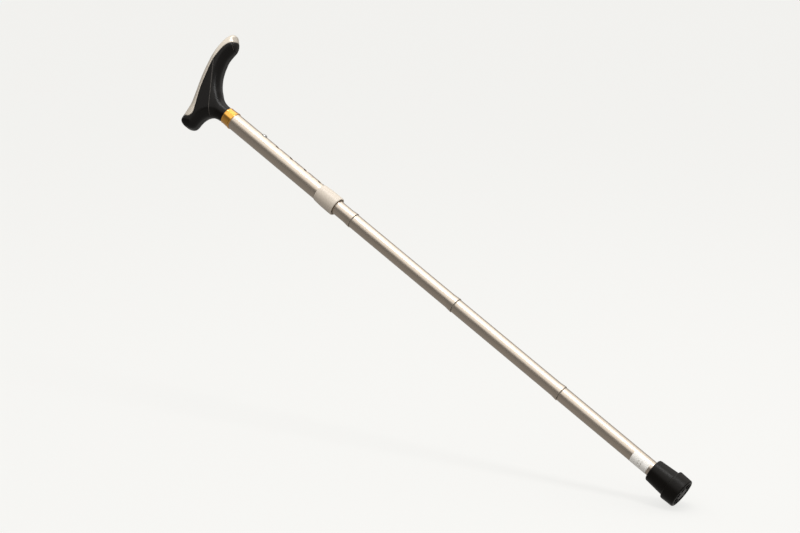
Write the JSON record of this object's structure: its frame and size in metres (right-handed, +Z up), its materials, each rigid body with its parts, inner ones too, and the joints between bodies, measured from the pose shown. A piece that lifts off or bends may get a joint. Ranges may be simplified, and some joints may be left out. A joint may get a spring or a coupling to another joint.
{
  "type": "folding walking cane",
  "caption": "Folding, height-adjustable walking cane with a black palm handle, satin aluminium tubes and a rubber foot.",
  "frame": {"origin": "centre of the rubber foot's underside, on the shaft's axis", "axes": "+Z up the shaft, +X towards the front tip of the handle, +Y across the handle"},
  "size_m": [0.1328, 0.0382, 0.8332],
  "materials": {
    "black_plastic": "moulded, fine satin grain",
    "silver_inlay": "brushed silver lacquer",
    "black_cap": "moulded, fine satin grain",
    "gold_ring": "polished and lacquered",
    "anodised_silver": "satin champagne-silver anodised",
    "beige_plastic": "smooth matte moulded",
    "grey_plastic": "moulded nylon",
    "steel": "plain bright",
    "spring_steel": "plain, bright rolled",
    "white_nylon": "moulded nylon",
    "rubber": "moulded, matt with a soft sheen",
    "cord": "braided sleeve over an elastic core",
    "paper": "plain white self-adhesive paper"
  },
  "bodies": {
    "handle_assembly": {"handle_grip": "black_plastic", "handle_top_inlay": "silver_inlay", "handle_tip_cap": "black_cap", "handle_core": "grey_plastic", "handle_washer": "steel", "handle_screw": "steel", "neck_rivets": "steel", "neck_ring": "gold_ring", "upper_tube": "anodised_silver", "collet": "white_nylon"},
    "lock_nut": {"lock_nut": "beige_plastic"},
    "wedge_ring": {"wedge_ring": "grey_plastic"},
    "inner_tube": {"inner_tube": "anodised_silver", "guide_bush": "white_nylon", "button_spring": "spring_steel", "cord_anchor": "white_nylon", "anchor_pins": "steel", "top_cord_stop": "steel", "shock_cord": "cord"},
    "snap_button": {"snap_button": "steel"},
    "upper_tenon": {"upper_tenon": "grey_plastic", "upper_eyelet": "white_nylon"},
    "middle_tenon": {"middle_tenon": "grey_plastic", "middle_eyelet": "white_nylon"},
    "lower_tenon": {"lower_tenon": "grey_plastic", "lower_eyelet": "white_nylon"},
    "upper_section": {"upper_section_tube": "anodised_silver"},
    "middle_section": {"middle_section_tube": "anodised_silver"},
    "lower_section": {"lower_section_tube": "anodised_silver", "foot_plug": "white_nylon", "foot_cord_stop": "steel", "ferrule": "rubber", "foot_washer": "steel", "size_label": "paper"}
  },
  "joints": [
    {"name": "wedge_advance", "type": "slide", "parent": "handle_assembly", "child": "wedge_ring", "axis": [0, 0, -1], "range_m": [0, 0.00112]},
    {"name": "nut_turn", "type": "hinge", "parent": "wedge_ring", "child": "lock_nut", "pos_m": [0, 0, 0.578], "axis": [0, 0, -1], "range_deg": [0, 270]},
    {"name": "height_slide", "type": "slide", "parent": "handle_assembly", "child": "inner_tube", "axis": [0, 0, -1], "range_m": [0, 0.1016], "deforming": ["button_spring", "snap_button"]},
    {"name": "button_press", "type": "slide", "parent": "inner_tube", "child": "snap_button", "axis": [-0.9848, 0.1736, 0], "range_m": [0, 0.003], "stiffness_N_per_m": 1000, "springref_m": -0.004, "deforming": ["button_spring"]},
    {"name": "upper_pull", "type": "slide", "parent": "inner_tube", "child": "upper_tenon", "axis": [0, 0, -1], "range_m": [0, 0.05], "stiffness_N_per_m": 300, "springref_m": -0.1, "deforming": ["shock_cord"]},
    {"name": "upper_fold", "type": "hinge", "parent": "upper_tenon", "child": "upper_section", "pos_m": [0, 0.01623, 0.5339], "axis": [1, 0, 0], "range_deg": [0, 180], "stiffness_Nm_per_rad": 1.5, "springref_deg": -57.3, "deforming": ["shock_cord"]},
    {"name": "middle_pull", "type": "slide", "parent": "upper_section", "child": "middle_tenon", "axis": [0, 0, -1], "range_m": [0, 0.05], "stiffness_N_per_m": 300, "springref_m": -0.1, "deforming": ["shock_cord"]},
    {"name": "middle_fold", "type": "hinge", "parent": "middle_tenon", "child": "middle_section", "pos_m": [0, -0.01623, 0.3591], "axis": [-1, 0, 0], "range_deg": [0, 180], "stiffness_Nm_per_rad": 1, "springref_deg": -57.3, "deforming": ["shock_cord"]},
    {"name": "lower_pull", "type": "slide", "parent": "middle_section", "child": "lower_tenon", "axis": [0, 0, -1], "range_m": [0, 0.05], "stiffness_N_per_m": 300, "springref_m": -0.1, "deforming": ["shock_cord"]},
    {"name": "lower_fold", "type": "hinge", "parent": "lower_tenon", "child": "lower_section", "pos_m": [0, 0.01623, 0.1867], "axis": [1, 0, 0], "range_deg": [0, 180], "stiffness_Nm_per_rad": 0.6, "springref_deg": -57.3, "deforming": ["shock_cord"]}
  ],
  "couplings": [
    {"joint": "wedge_advance", "follows": "nut_turn", "m_per_rad": 0.00023873}
  ]
}
